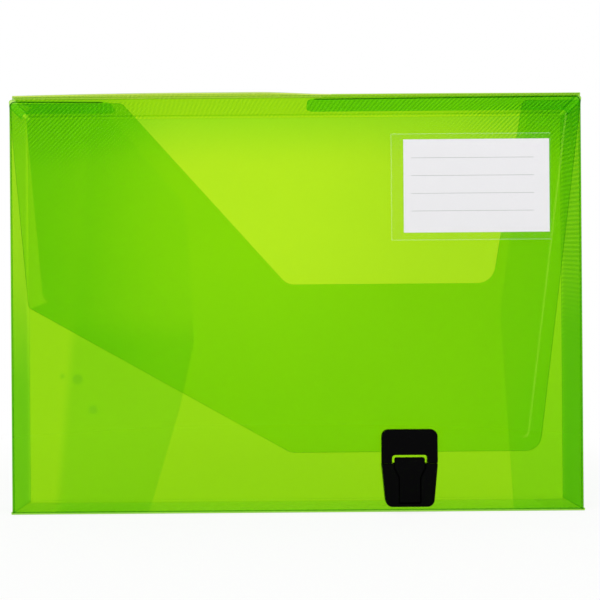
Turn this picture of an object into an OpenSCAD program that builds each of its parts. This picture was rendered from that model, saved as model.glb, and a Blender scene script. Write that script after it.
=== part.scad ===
// Portable file box for A4 papers: a creased sheet box with a lid, a closing flap, a snap clip and a label pocket.
// The box stands on its long bottom edge. X runs to the right, Y from the front to the back, Z up.

/* [Box] */
// Outside width of the box
box_w = 334; // [328:1:344]
// Depth from the closed flap's outer face to the back panel's outer face
box_d = 35; // [28:1:45]
// Height of the closed box at the rounded shoulder of its lid
box_h = 245.9; // [245.1:0.1:247.5]
// Height of the crease at the upper edge of the back panel
back_h = 240.5; // [239.9:0.1:241.1]
// Height of the crease at the upper edge of the closing flap
flap_h = 242.7; // [241.5:0.1:242.9]
// Thickness of the sheet that the box is creased from
sheet = 0.8; // [0.6:0.1:1]

/* [Front panel] */
// Distance of the notch's upper left corner from the box's centre line
notch_left = 100.8; // [90:0.1:110]
// Distance of the notch's lower left corner from the box's centre line
notch_low_left = 5.5; // [0:0.1:20]
// Distance of the notch's lower right corner from the box's centre line
notch_low_right = 114.4; // [100:0.1:118]
// Distance of the notch's upper right corner from the box's centre line
notch_right = 132.6; // [118:0.1:135]
// Height of the notch's lower edge
notch_z = 133.1; // [122:0.1:147]

/* [Closing flap] */
// Height of the flap's bottom edge
flap_z = 35.4; // [34.9:0.1:35.9]
// Height of the flap's lower left corner, where its slanted edge begins
flap_left_z = 120.8; // [103:0.1:133]
// Distance of the lower left corner from the box's centre line
flap_left_x = 155.7; // [150:0.1:160]
// Where the slanted edge meets the bottom edge, left of the centre line
flap_low_left = 4; // [0:0.1:20]
// Where the right edge meets the bottom edge, right of the centre line
flap_low_right = 140.5; // [136:0.1:150]
// Width of the line embossed round the flap
emboss_w = 1.2; // [0.8:0.1:2]
// Depth of the embossed line
emboss_depth = 0.25; // [0.1:0.05:0.3]

/* [Dust flaps] */
// Length of the short dust flap on the left wall
left_dust_l = 57.5; // [40:0.5:64]
// Length of the long dust flap on the right wall
right_dust_l = 158.5; // [120:0.5:161]
// Depth of the dust flaps, from front to back
dust_d = 21.3; // [18:0.1:22]
// Radius of the dust flaps' free corners
dust_r = 5; // [2:1:10]

/* [Clip] */
// Distance of the clip's middle from the box's centre line
clip_x = 64.4; // [50:0.1:80]
// Width of the clip at its top
clip_w = 32.3; // [30:0.1:36]
// Width of the clip where its two halves meet
clip_seam_w = 32.4; // [31:0.1:37]
// Width of the clip at its bottom
clip_foot_w = 27.6; // [26:0.1:31]
// Height of the clip's upper edge
clip_top_z = 48.8; // [47.5:0.1:50.5]
// Height of the joint between the clip's two halves
clip_seam_z = 29.2; // [28.7:0.1:29.7]
// Height of the clip's lower edge
clip_foot_z = 4.1; // [3.7:0.1:5]
// Height of the clip above the flap
clip_t = 3.5; // [3:0.1:4]
// Width of the snap tongue's head
head_w = 17.6; // [15:0.1:18]
// Width of the tongue's neck
neck_w = 12; // [10:0.5:13]
// Gap between the tongue's head and the notch round it
slot_gap = 1.35; // [1:0.05:1.6]
// Radius of the moulded studs that hold each half of the clip
stud_r = 1.5; // [1:0.1:2]

/* [Label] */
// Width of the clear pocket
pocket_w = 92.6; // [90:0.1:93]
// Height of the clear pocket
pocket_h = 62; // [60:0.1:64]
// Distance of the pocket's left end from the box's centre line
pocket_x = 55.2; // [45:0.1:56]
// Height of the pocket's lower edge
pocket_z = 158; // [150:0.1:162]
// Width of the card
card_w = 84.5; // [80:0.1:85]
// Height of the card
card_h = 54; // [50:0.1:55]

/* [Hidden] */

// Faces of the layers from front to back
flap_front = -box_d / 2;
flap_back = flap_front + sheet;
backing_t = 0.8;
backing_gap = 0.2;
panel_front = flap_back + backing_t + backing_gap;
panel_back = panel_front + sheet;
tab_back = panel_back + sheet;
back_back = box_d / 2;
back_front = back_back - sheet;

// Inner faces of the side walls, and the levels at the top of the box
wall_in = box_w / 2 - sheet;
bead_r = sheet / 2;
lid_hinge_y = back_back - bead_r;
lid_hinge_z = back_h - bead_r;
flap_hinge_y = flap_front + bead_r;
flap_hinge_z = flap_h - bead_r;
edge_gap = 0.1;
back_top = lid_hinge_z - 1.4;
wall_top = back_h - 1.1;
dust_top = back_h + 0.1;
dust_hinge_x = wall_in - edge_gap - bead_r;
dust_front = tab_back + 0.3;
dust_back = dust_front + dust_d;
tab_top = back_h - 6;
bottom_tab_l = 20;

// The lid rises from its rear crease to a rounded shoulder, which comes down to the flap's crease
shoulder_r = 2.6;
shoulder_rise = box_h - shoulder_r - lid_hinge_z;
shoulder_run = lid_hinge_y - flap_front - shoulder_r;
lid_slope = atan2(shoulder_rise, shoulder_run) + asin((shoulder_r - bead_r) / norm([shoulder_run, shoulder_rise]));
lid_foot_z = flap_h + 0.3;

// The distances of the flap's embossed line from the flap's edges, and the height at which it runs out
emboss_left = 9;
emboss_slant = 8.6;
emboss_bottom = 7.5;
emboss_right = 7.2;
emboss_top = 5;
emboss_end_z = flap_h - 16.7;

// The clip's layers from front to back
clip_front = flap_front - clip_t;
bevel = 0.8;
half_gap = 0.1;
tongue_recess = 0.4;
tongue_t = 1.6;
tongue_front = clip_front + tongue_recess;
tongue_gap = 0.45;
keeper_floor_t = 1.5;
window_back = panel_front - keeper_floor_t;
tongue_foot_z = 6.5;
tongue_shoulder_z = 21.1;
stud_fit = 0.05;
stud_dx = 11;
clasp_stud_z = 43;
keeper_stud_z = 12.5;
clip_corner_r = 4.2;

// The label's layers from front to back
film_t = 0.3;
card_t = 0.3;
card_gap = 0.1;
pocket_weld = 3.5;
pocket_rim = 2;

green = [0.55, 0.83, 0.10, 0.6];
black = [0.03, 0.03, 0.035];
clear = [0.85, 0.95, 0.75, 0.35];
white = [0.92, 0.93, 0.92];

// A corner is [x, y, radius]. corner_arc() gives the points that round the corner b between a and c.
function flat(p) = [p.x, p.y];
function unit(v) = v / norm(v);
function turned(v, angle) = [v.x * cos(angle) - v.y * sin(angle), v.x * sin(angle) + v.y * cos(angle)];
function corner_arc(a, b, c, r, steps = 8) =
    let (
        u = unit(a - b),
        v = unit(c - b),
        half = acos(u * v) / 2,
        cut = r / tan(half),
        centre = b + unit(u + v) * r / sin(half),
        first = b + u * cut - centre,
        last = b + v * cut - centre,
        sweep = (180 - 2 * half) * sign(cross(first, last))
    )
    [for (i = [0:steps]) centre + turned(first, sweep * i / steps)];
function rounded(corners) =
    let (n = len(corners))
    [
        for (i = [0:n - 1])
            let (b = corners[i])
            each b[2] == 0
                ? [flat(b)]
                : corner_arc(flat(corners[(i + n - 1) % n]), flat(b), flat(corners[(i + 1) % n]), b[2])
    ];

// The corner where two lines meet, each line given by two points and moved sideways by its own distance
function moved(line, by) =
    let (side = turned(unit(line[1] - line[0]), 90) * by)
    [line[0] + side, line[1] + side];
function meet(m, n) =
    let (d = m[1] - m[0], e = n[1] - n[0])
    m[0] + d * cross(n[0] - m[0], e) / cross(d, e);

// Draws a flat outline, given in X and Z, as an upright layer between two depths
module upright(front, back) {
    rotate([90, 0, 0])
        translate([0, 0, -back])
            linear_extrude(back - front)
                children();
}

// A round bar along X, or along Y
module bar_x(x0, x1, y, z, r) {
    translate([x0, y, z])
        rotate([0, 90, 0])
            cylinder(h = x1 - x0, r = r, $fn = 32);
}
module bar_y(x, y0, y1, z, r) {
    translate([x, y0, z])
        rotate([-90, 0, 0])
            cylinder(h = y1 - y0, r = r, $fn = 32);
}

// The two studs of a half of the clip, or with a larger radius the holes for them
module studs(z, front, back, r) {
    for (side = [-1, 1])
        bar_y(clip_x + side * stud_dx, front, back, z, r);
}

// Walls of the box

module back_panel() {
    color(green)
        translate([-box_w / 2, back_front, 0])
            cube([box_w, sheet, back_top]);
}

module bottom_wall() {
    color(green)
        translate([-box_w / 2, panel_back, 0])
            cube([box_w, back_front - panel_back, sheet]);
}

// The front panel has a wide notch in its upper edge, through which the papers are gripped
module front_panel() {
    color(green)
        difference() {
            upright(panel_front, panel_back)
                polygon(rounded([
                    [-box_w / 2, 0, 0],
                    [box_w / 2, 0, 0],
                    [box_w / 2, wall_top, 0],
                    [notch_right, wall_top, 3],
                    [notch_low_right, notch_z, 10.5],
                    [-notch_low_left, notch_z, 8.7],
                    [-notch_left, wall_top, 4.6],
                    [-box_w / 2, wall_top, 0]
                ]));
            studs(keeper_stud_z, panel_front - 1, panel_back + 1, stud_r + stud_fit);
        }
}

module side_wall() {
    color(green)
        translate([wall_in, panel_back, sheet])
            cube([sheet, back_front - panel_back, wall_top - sheet]);
}
module left_side_wall() mirror([1, 0, 0]) side_wall();
module right_side_wall() side_wall();

// The tabs of the side walls, welded flat inside the front panel
module left_front_tab() {
    color(green)
        upright(panel_back, tab_back)
            polygon(rounded([
                [-wall_in, sheet, 0],
                [-87, sheet, 0],
                [-68.5, 62.5, 20],
                [-60, 100, 25],
                [-64.5, 180, 15],
                [-110.5, tab_top, 6],
                [-wall_in, tab_top, 0]
            ]));
}

module right_front_tab() {
    color(green)
        upright(panel_back, tab_back)
            polygon(rounded([
                [wall_in, sheet, 0],
                [wall_in, tab_top, 0],
                [136, tab_top, 6],
                [119, 118, 30],
                [126, sheet, 0]
            ]));
}

// The tabs of the side walls, welded flat onto the bottom wall
module bottom_tab() {
    color(green)
        translate([0, 0, sheet])
            linear_extrude(sheet)
                polygon(rounded([
                    [wall_in, tab_back + edge_gap, 0],
                    [wall_in, back_front - edge_gap, 0],
                    [wall_in - bottom_tab_l, back_front - edge_gap - 3, 4],
                    [wall_in - bottom_tab_l, tab_back + edge_gap + 3, 4]
                ]));
}
module left_bottom_tab() mirror([1, 0, 0]) bottom_tab();
module right_bottom_tab() bottom_tab();

// Dust flaps: each folds on a crease along the upper edge of its side wall
module dust_flap(length) {
    color(green)
        union() {
            translate([0, 0, dust_top - sheet])
                linear_extrude(sheet)
                    polygon(rounded([
                        [dust_hinge_x, dust_front, 0],
                        [dust_hinge_x, dust_back, 0],
                        [dust_hinge_x - length, dust_back - 2, dust_r],
                        [dust_hinge_x - length, dust_front, dust_r]
                    ]));
            bar_y(dust_hinge_x, dust_front, dust_back, dust_top - sheet / 2, bead_r);
        }
}
module left_dust_flap() mirror([1, 0, 0]) dust_flap(left_dust_l);
module right_dust_flap() dust_flap(right_dust_l);

// The top of the lid, with the rounded crease on which it turns. Its profile is given in Y and Z:
// the middle of the sheet rises from the crease to the shoulder, and then comes straight down.
lid_line = [
    [lid_hinge_y, lid_hinge_z],
    [lid_hinge_y - cos(lid_slope), lid_hinge_z + sin(lid_slope)]
];
foot_line = [[flap_hinge_y, box_h], [flap_hinge_y, lid_foot_z]];
lid_outer = [moved(lid_line, -bead_r), moved(foot_line, -bead_r)];
lid_inner = [moved(lid_line, bead_r), moved(foot_line, bead_r)];

module lid_top() {
    color(green)
        union() {
            translate([-box_w / 2, 0, 0])
                rotate([90, 0, 90])
                    linear_extrude(box_w)
                        polygon(rounded([
                            [each lid_inner[0][0], 0],
                            [each meet(lid_inner[0], lid_inner[1]), shoulder_r - sheet],
                            [each lid_inner[1][1], 0],
                            [each lid_outer[1][1], 0],
                            [each meet(lid_outer[0], lid_outer[1]), shoulder_r],
                            [each lid_outer[0][0], 0]
                        ]));
            bar_x(-box_w / 2, box_w / 2, lid_hinge_y, lid_hinge_z, bead_r);
        }
}

// The closing flap's edges, and its embossed line, which follows them
flap_lines = [
    [[-box_w / 2, flap_hinge_z], [-flap_left_x, flap_left_z]],
    [[-flap_left_x, flap_left_z], [-flap_low_left, flap_z]],
    [[-flap_low_left, flap_z], [flap_low_right, flap_z]],
    [[flap_low_right, flap_z], [box_w / 2, flap_hinge_z]],
    [[box_w / 2, flap_hinge_z], [-box_w / 2, flap_hinge_z]]
];
emboss_in = [emboss_left, emboss_slant, emboss_bottom, emboss_right, emboss_top];
emboss_corner_r = [7, 12, 4, 4, 4];
function emboss_outline(extra) =
    let (lines = [for (i = [0:4]) moved(flap_lines[i], emboss_in[i] + extra)])
    rounded([for (i = [0:4]) [each meet(lines[i], lines[(i + 1) % 5]), emboss_corner_r[i]]]);

module closing_flap() {
    color(green)
        difference() {
            union() {
                upright(flap_front, flap_back)
                    polygon(rounded([
                        [-box_w / 2, flap_hinge_z, 0],
                        [-flap_left_x, flap_left_z, 3],
                        [-flap_low_left, flap_z, 10],
                        [flap_low_right, flap_z, 9.5],
                        [box_w / 2, flap_hinge_z, 0]
                    ]));
                bar_x(-box_w / 2, box_w / 2, flap_hinge_y, flap_hinge_z, bead_r);
            }
            upright(flap_front - 1, flap_front + emboss_depth)
                difference() {
                    polygon(emboss_outline(0));
                    polygon(emboss_outline(emboss_w));
                    translate([-box_w / 2, emboss_end_z])
                        square([box_w, box_h - emboss_end_z]);
                }
            studs(clasp_stud_z, flap_front - 1, flap_back + 1, stud_r + stud_fit);
        }
}

// Snap clip: the clasp is on the flap, the keeper with its tongue on the front panel

// A clip half: an outline given about its own middle, with a bevelled front edge
module clip_slab(corners, w, h, mid_z, back) {
    full = back - clip_front - bevel;
    translate([clip_x, back, mid_z])
        rotate([90, 0, 0]) {
            linear_extrude(full)
                polygon(rounded(corners));
            translate([0, 0, full])
                linear_extrude(bevel, scale = [(w - 2 * bevel) / w, (h - 2 * bevel) / h])
                    polygon(rounded(corners));
        }
}

module clasp_plate() {
    h = clip_top_z - clip_seam_z - half_gap;
    notch_top = clip_seam_z + half_gap + 4.7;
    color(black)
        difference() {
            union() {
                clip_slab([
                    [-clip_seam_w / 2, -h / 2, 0.6],
                    [clip_seam_w / 2, -h / 2, 0.6],
                    [clip_w / 2, h / 2, clip_corner_r],
                    [-clip_w / 2, h / 2, clip_corner_r]
                ], clip_seam_w, h, clip_seam_z + half_gap + h / 2, flap_front);
                studs(clasp_stud_z, flap_front - 0.5, flap_back + backing_t, stud_r);
            }
            upright(clip_front - 1, flap_front + 1)
                translate([clip_x, 0])
                    polygon(rounded([
                        [-head_w / 2 - slot_gap, clip_seam_z - 2, 0],
                        [head_w / 2 + slot_gap, clip_seam_z - 2, 0],
                        [head_w / 2 + slot_gap, notch_top, 1.8],
                        [-head_w / 2 - slot_gap, notch_top, 1.8]
                    ]));
        }
}

module clasp_backing() {
    color(black)
        difference() {
            upright(flap_back, flap_back + backing_t)
                translate([clip_x, 0])
                    polygon(rounded([
                        [-14.5, flap_z + 2, 2],
                        [14.5, flap_z + 2, 2],
                        [14.5, clip_top_z - 0.8, 3],
                        [-14.5, clip_top_z - 0.8, 3]
                    ]));
            studs(clasp_stud_z, flap_back - 1, flap_back + 2, stud_r + stud_fit);
        }
}

// Outline of the tongue, or with a gap the outline of the window round it
function tongue_outline(gap, head_z) = rounded([
    [-neck_w / 2 - gap, tongue_foot_z - gap, 0],
    [neck_w / 2 + gap, tongue_foot_z - gap, 0],
    [neck_w / 2 + gap, tongue_shoulder_z, 2],
    [head_w / 2 + gap, tongue_shoulder_z + 5.5, 2],
    [head_w / 2 + gap, head_z, gap > 0 ? 0 : 1.2],
    [-head_w / 2 - gap, head_z, gap > 0 ? 0 : 1.2],
    [-head_w / 2 - gap, tongue_shoulder_z + 5.5, 2],
    [-neck_w / 2 - gap, tongue_shoulder_z, 2]
]);

module keeper_plate() {
    h = clip_seam_z - half_gap - clip_foot_z;
    color(black)
        difference() {
            union() {
                clip_slab([
                    [-clip_foot_w / 2, -h / 2, clip_corner_r],
                    [clip_foot_w / 2, -h / 2, clip_corner_r],
                    [clip_seam_w / 2, h / 2, 0.6],
                    [-clip_seam_w / 2, h / 2, 0.6]
                ], clip_seam_w, h, clip_foot_z + h / 2, panel_front);
                studs(keeper_stud_z, panel_front - 0.5, panel_back + backing_t, stud_r);
            }
            upright(clip_front - 1, window_back)
                translate([clip_x, 0])
                    polygon(tongue_outline(tongue_gap, clip_seam_z + 1));
        }
}

module keeper_backing() {
    color(black)
        difference() {
            upright(panel_back, panel_back + backing_t)
                translate([clip_x, 0])
                    polygon(rounded([
                        [-13.5, 6.5, 3],
                        [13.5, 6.5, 3],
                        [13.5, 18.5, 3],
                        [-13.5, 18.5, 3]
                    ]));
            studs(keeper_stud_z, panel_back - 1, panel_back + 2, stud_r + stud_fit);
        }
}

// The tongue bends inwards at its foot when the head is pressed
module latch_tongue() {
    head_z = clip_seam_z + half_gap + 4.7 - slot_gap;
    color(black)
        union() {
            upright(tongue_front, tongue_front + tongue_t)
                translate([clip_x, 0])
                    polygon(tongue_outline(0, head_z));
            bar_x(
                clip_x - neck_w / 2, clip_x + neck_w / 2,
                tongue_front + tongue_t / 2, tongue_foot_z + 0.4, tongue_t / 2
            );
        }
}

// Label: a clear pocket welded to the flap on three sides, open on the right, with a card in it

module label_pocket() {
    depth = film_t + card_t + 2 * card_gap;
    color(clear)
        difference() {
            translate([pocket_x, flap_front - depth, pocket_z])
                cube([pocket_w, depth, pocket_h]);
            translate([pocket_x + pocket_weld, flap_front - depth + film_t, pocket_z + pocket_rim])
                cube([pocket_w, depth, pocket_h - 2 * pocket_rim]);
        }
}

module label_card() {
    color(white)
        translate([
            pocket_x + pocket_w - card_w - 0.8,
            flap_front - card_gap - card_t,
            pocket_z + 4.5
        ])
            cube([card_w, card_t, card_h]);
}

back_panel();
bottom_wall();
front_panel();
left_side_wall();
right_side_wall();
left_front_tab();
right_front_tab();
left_bottom_tab();
right_bottom_tab();
left_dust_flap();
right_dust_flap();
lid_top();
closing_flap();
clasp_plate();
clasp_backing();
keeper_plate();
keeper_backing();
latch_tongue();
label_pocket();
label_card();
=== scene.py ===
"""A slim A4 file box of clear lime sheet, with a lid, a closing flap, a snap clip and a label pocket."""
import math

import bpy
import numpy as np
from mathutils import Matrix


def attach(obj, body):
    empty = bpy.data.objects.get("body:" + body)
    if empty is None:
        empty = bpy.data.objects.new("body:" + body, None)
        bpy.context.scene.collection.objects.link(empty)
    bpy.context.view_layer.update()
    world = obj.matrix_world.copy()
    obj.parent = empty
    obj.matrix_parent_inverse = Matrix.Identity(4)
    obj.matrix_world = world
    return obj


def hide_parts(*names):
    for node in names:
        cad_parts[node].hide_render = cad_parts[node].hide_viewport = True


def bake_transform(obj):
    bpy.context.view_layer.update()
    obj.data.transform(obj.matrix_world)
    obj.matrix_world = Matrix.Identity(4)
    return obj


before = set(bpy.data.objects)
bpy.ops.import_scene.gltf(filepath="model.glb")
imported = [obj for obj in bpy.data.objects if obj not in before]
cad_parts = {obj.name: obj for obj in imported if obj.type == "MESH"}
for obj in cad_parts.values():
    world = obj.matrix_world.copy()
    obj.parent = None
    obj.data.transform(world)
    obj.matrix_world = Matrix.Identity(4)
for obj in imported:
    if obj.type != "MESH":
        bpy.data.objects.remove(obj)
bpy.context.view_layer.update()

# ---------------------------------------------------------------------------------------------
# Camera: the photograph is taken from about half a metre, straight on and below the middle.
# The lens sees 600 pixels of 0.58 mm on the flap's face, and the lines into the depth run to
# one pixel, which gives the place of the camera. The picture is turned by nearly half a degree.
photo_px = 600
metres_per_px = 0.00058
middle_px, floor_px = 296.9, 513.9
vanishing_px = (277, 333)
eye_distance = 0.476
flap_front_y = -0.0175
photo_roll = math.radians(0.45)
sensor_width = 36

camera = bpy.data.objects.new("camera", bpy.data.cameras.new("camera"))
bpy.context.scene.collection.objects.link(camera)
camera.location = (
    (vanishing_px[0] - middle_px) * metres_per_px,
    flap_front_y - eye_distance,
    (floor_px - vanishing_px[1]) * metres_per_px,
)
camera.rotation_euler = (math.pi / 2, photo_roll, 0)
camera.data.sensor_width = sensor_width
camera.data.lens = sensor_width * eye_distance / (photo_px * metres_per_px)
camera.data.shift_x = 0.5 - vanishing_px[0] / photo_px
camera.data.shift_y = vanishing_px[1] / photo_px - 0.5
camera.data.clip_start = 0.01
bpy.context.scene.camera = camera
bpy.context.scene.view_settings.view_transform = "Standard"
# The sheets lie up to a dozen faces deep
bpy.context.scene.cycles.transparent_max_bounces = 40

# Studio: a white surround behind the box, a darker room behind the camera, a large soft lamp on
# the upper left and a small one on the upper right that gives the clip its highlights.
room_light = 0.62
room_behind_camera = 0.08
behind_camera, beside_box = -0.55, 0.1
lamp_aim_height = 0.12


def new_node(tree, kind, inputs=(), **settings):
    """Adds a node. Each input is a value, or the socket that feeds it."""
    node = tree.nodes.new(kind)
    for setting, value in settings.items():
        setattr(node, setting, value)
    for socket, value in dict(inputs).items():
        if isinstance(value, bpy.types.NodeSocket):
            tree.links.new(value, node.inputs[socket])
        else:
            node.inputs[socket].default_value = value
    return node


def math_node(tree, operation, a, b=0.0, c=0.0):
    """A sum on one to three numbers or sockets, and its result."""
    return new_node(tree, "ShaderNodeMath", {0: a, 1: b, 2: c}, operation=operation).outputs[0]


def ramp(tree, value, low, high, at_low=0.0, at_high=1.0, how="SMOOTHSTEP"):
    """A number that goes from one value to another while the given one goes from low to high."""
    settings = {"Value": value, "From Min": low, "From Max": high, "To Min": at_low, "To Max": at_high}
    return new_node(tree, "ShaderNodeMapRange", settings, interpolation_type=how).outputs[0]


world = bpy.data.worlds.new("studio")
bpy.context.scene.world = world
world.use_nodes = True
tree = world.node_tree
tree.nodes.clear()
path = new_node(tree, "ShaderNodeLightPath")
direction = new_node(tree, "ShaderNodeTexCoord").outputs["Generated"]
depth = new_node(tree, "ShaderNodeSeparateXYZ", {0: direction}).outputs["Y"]
mirrored = ramp(tree, depth, behind_camera, beside_box, room_behind_camera, 1.0)
straight = math_node(tree, "MAXIMUM", path.outputs["Is Camera Ray"], path.outputs["Is Transmission Ray"])
lit = new_node(
    tree, "ShaderNodeMix", {0: path.outputs["Is Glossy Ray"], 2: room_light, 3: mirrored}, data_type="FLOAT"
).outputs[0]
strength = new_node(tree, "ShaderNodeMix", {0: straight, 2: lit, 3: 1.0}, data_type="FLOAT").outputs[0]
background = new_node(tree, "ShaderNodeBackground", {"Color": (1, 1, 1, 1), "Strength": strength})
new_node(tree, "ShaderNodeOutputWorld", {0: background.outputs[0]})


def soft_lamp(name, place, size, watts):
    """A square area lamp that looks at the middle of the box."""
    lamp = bpy.data.objects.new(name, bpy.data.lights.new(name, "AREA"))
    bpy.context.scene.collection.objects.link(lamp)
    lamp.data.size = size
    lamp.data.energy = watts
    lamp.location = place
    away = lamp.location.copy()
    away.z -= lamp_aim_height
    lamp.rotation_euler = away.to_track_quat("Z", "Y").to_euler()


soft_lamp("soft_lamp_left", (-0.95, -1.15, 1.35), 1.0, 15)
soft_lamp("soft_lamp_right", (0.75, -0.8, 0.95), 0.25, 4)

# Floor: plain white card, wide enough to have no edge in view. It shows the box's faint shadow
# near the box, and is white further away. Glossy faces mirror the white only behind the box.
floor_half = 6.0
shadow_share = 0.13
shadow_near, shadow_far = 0.2, 0.45
white_from, white_to = -0.1, 0.3
floor_colour = (0.9, 0.9, 0.9, 1)


def new_material(name):
    """An empty material, and its node tree."""
    material = bpy.data.materials.new(name)
    material.use_nodes = True
    material.node_tree.nodes.clear()
    return material, material.node_tree


def finish_material(tree, share, first, second):
    """Ends a material with a mix of two shader nodes."""
    mixed = new_node(tree, "ShaderNodeMixShader", {0: share, 1: first.outputs[0], 2: second.outputs[0]})
    new_node(tree, "ShaderNodeOutputMaterial", {0: mixed.outputs[0]})


floor_mesh = bpy.data.meshes.new("floor")
floor_corners = [(x * floor_half, y * floor_half, 0) for x, y in ((-1, -1), (1, -1), (1, 1), (-1, 1))]
floor_mesh.from_pydata(floor_corners, [], [(0, 1, 2, 3)])
floor = bpy.data.objects.new("floor", floor_mesh)
bpy.context.scene.collection.objects.link(floor)
floor_finish, tree = new_material("white_card_floor")
path = new_node(tree, "ShaderNodeLightPath")
place = new_node(tree, "ShaderNodeTexCoord").outputs["Object"]
away = new_node(tree, "ShaderNodeVectorMath", {0: place}, operation="LENGTH").outputs["Value"]
near_box = ramp(tree, away, shadow_near, shadow_far, shadow_share, 0.0)
depth = new_node(tree, "ShaderNodeSeparateXYZ", {0: place}).outputs["Y"]
behind_box = ramp(tree, depth, white_from, white_to)
seen = math_node(tree, "MAXIMUM", path.outputs["Is Camera Ray"], path.outputs["Is Transmission Ray"])
seen = math_node(tree, "MULTIPLY_ADD", path.outputs["Is Glossy Ray"], behind_box, seen)
lit_card = new_node(tree, "ShaderNodeBsdfDiffuse", {"Color": floor_colour})
glow = new_node(tree, "ShaderNodeEmission", {"Color": (1, 1, 1, 1), "Strength": 1.0})
white_card = new_node(tree, "ShaderNodeMixShader", {0: near_box, 1: glow.outputs[0], 2: lit_card.outputs[0]})
finish_material(tree, seen, lit_card, white_card)
floor_mesh.materials.append(floor_finish)

# ---------------------------------------------------------------------------------------------
# Back panel: one flat panel of the die-cut polypropylene sheet, 0.8 mm thick, clear lime green
# with a fine diagonal grain pressed into it. Its cut edges are softened by the die.
# All points are worked out in millimetres and stored in metres. Materials read metres.
millimetre = 0.001
sharp_angle = math.radians(30)
sheet = 0.8
half_width = 167.0
edge_soft = 0.15
back_y = 17.1
back_top = 238.7
crease_r = 1.0
wall_x = 166.6
crease_gap = 0.05

# The centre of the painted light: the sheets are painted palest here and darker away from it, as light and
# shade.
painted_light_centre = (-0.0325, 0, 0.1885)
cloud_size, cloud_depth = 32.0, 0.2
edge_shade_sides, edge_shade_heights = (-0.165, -0.060), (0.200, 0.240)
grain_pitch, grain_lean = 0.0027, 0.11
grain_sides, grain_heights = (0.08, 0.14), (0.190, 0.236)
groove_tint = (0.35, 0.72, 0.30)
flat_mirror = 0.12


def noise(tree, place, scale, detail, roughness=0.5):
    """A cloudy number about a half."""
    settings = {"Vector": place, "Scale": scale, "Detail": detail, "Roughness": roughness}
    return new_node(tree, "ShaderNodeTexNoise", settings).outputs["Fac"]


def bumped(tree, height, strength, distance):
    """A normal that leans with the slope of a height."""
    settings = {"Strength": strength, "Distance": distance, "Height": height}
    return new_node(tree, "ShaderNodeBump", settings).outputs[0]


def blended(tree, share, first, second, how="MIX"):
    """A mix of two colours or sockets."""
    colours = [c if isinstance(c, bpy.types.NodeSocket) else (*c, 1) for c in (first, second)]
    settings = {0: share, 6: colours[0], 7: colours[1]}
    return new_node(tree, "ShaderNodeMix", settings, data_type="RGBA", blend_type=how).outputs[2]


def sheet_material(
    name, lit_tint, shaded_tint, body=(0.10, 0.42, 0.08), haze=0.018, reach=(0.02, 0.30), rim=0.0, grain=None,
    graze=(0.55, 0.85, 0.50), cover=None
):
    """Clear coloured sheet: each face tints what is behind it, between a lit and a shaded tint. This is
    painted light and shade: the shaded tint grows with the distance from the painted light's centre
    and, by the rim's share, towards the left and the upper edge. Seen flatter, it mirrors more, and tints
    more by the graze colour. The grain is slanted stripes, with three depths: near the middle, near the
    sides, and the share that is left further down. Cover gives a number from 0, where the sheet can't be
    seen, to 1."""
    material, tree = new_material(name)
    place = new_node(tree, "ShaderNodeTexCoord").outputs["Object"]
    x, y, z = new_node(tree, "ShaderNodeSeparateXYZ", {0: place}).outputs
    slanted = math_node(tree, "MULTIPLY_ADD", y, grain_lean, math_node(tree, "SUBTRACT", x, z))
    wave = math_node(tree, "SINE", math_node(tree, "MULTIPLY", slanted, 2 * math.pi / grain_pitch))
    on_front = new_node(tree, "ShaderNodeVectorMath", {0: place, 1: (1, 0, 1)}, operation="MULTIPLY")
    away = new_node(
        tree, "ShaderNodeVectorMath", {0: on_front.outputs[0], 1: painted_light_centre}, operation="DISTANCE"
    ).outputs["Value"]
    clouds = noise(tree, place, cloud_size, 3.0, 0.55)
    # Painted shade: darker away from the painted light's centre and, by the rim, towards the left and the
    # top.
    shade = ramp(tree, away, *reach)
    if rim:
        shade = math_node(tree, "ADD", shade, ramp(tree, x, *edge_shade_sides, rim, 0.0))
        shade = math_node(tree, "ADD", shade, ramp(tree, z, *edge_shade_heights, 0.0, rim))
    shade = math_node(tree, "MULTIPLY_ADD", math_node(tree, "SUBTRACT", clouds, 0.5), cloud_depth, shade)
    tint = blended(tree, shade, lit_tint, shaded_tint)
    if grain:
        in_middle, at_sides, lower_share = grain
        sides = ramp(tree, math_node(tree, "ABSOLUTE", x), *grain_sides, in_middle, at_sides)
        depth = math_node(tree, "MULTIPLY", ramp(tree, z, *grain_heights, lower_share, 1.0), sides)
        ribs = math_node(tree, "MULTIPLY", math_node(tree, "MULTIPLY_ADD", wave, 0.5, 0.5), depth)
        tint = blended(tree, ribs, tint, groove_tint, "MULTIPLY")
    facing = new_node(tree, "ShaderNodeLayerWeight", {"Blend": 0.5}).outputs["Facing"]
    flat = math_node(tree, "POWER", facing, 4.0)
    tint = blended(tree, flat, tint, graze, "MULTIPLY")
    share = math_node(tree, "MULTIPLY_ADD", flat, flat_mirror, haze)
    if cover:
        shown = cover(tree, x, z)
        tint = blended(tree, shown, (1, 1, 1), tint)
        share = math_node(tree, "MULTIPLY", share, shown)
    clear = new_node(tree, "ShaderNodeBsdfTransparent", {"Color": tint})
    solid = new_node(
        tree, "ShaderNodeBsdfPrincipled",
        {"Base Color": (*body, 1), "Roughness": 0.22, "Specular IOR Level": 0.5,
         "Normal": bumped(tree, wave, 0.25, 0.00005)},
    )
    finish_material(tree, share, clear, solid)
    return material


# The back panel is painted lighter near the painted light's centre and darker away from it, as light and
# shade.
lime_sheet = sheet_material(
    "lime_sheet", lit_tint=(0.850, 0.963, 0.345), shaded_tint=(0.790, 0.920, 0.325), reach=(0.02, 0.14)
)


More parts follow.
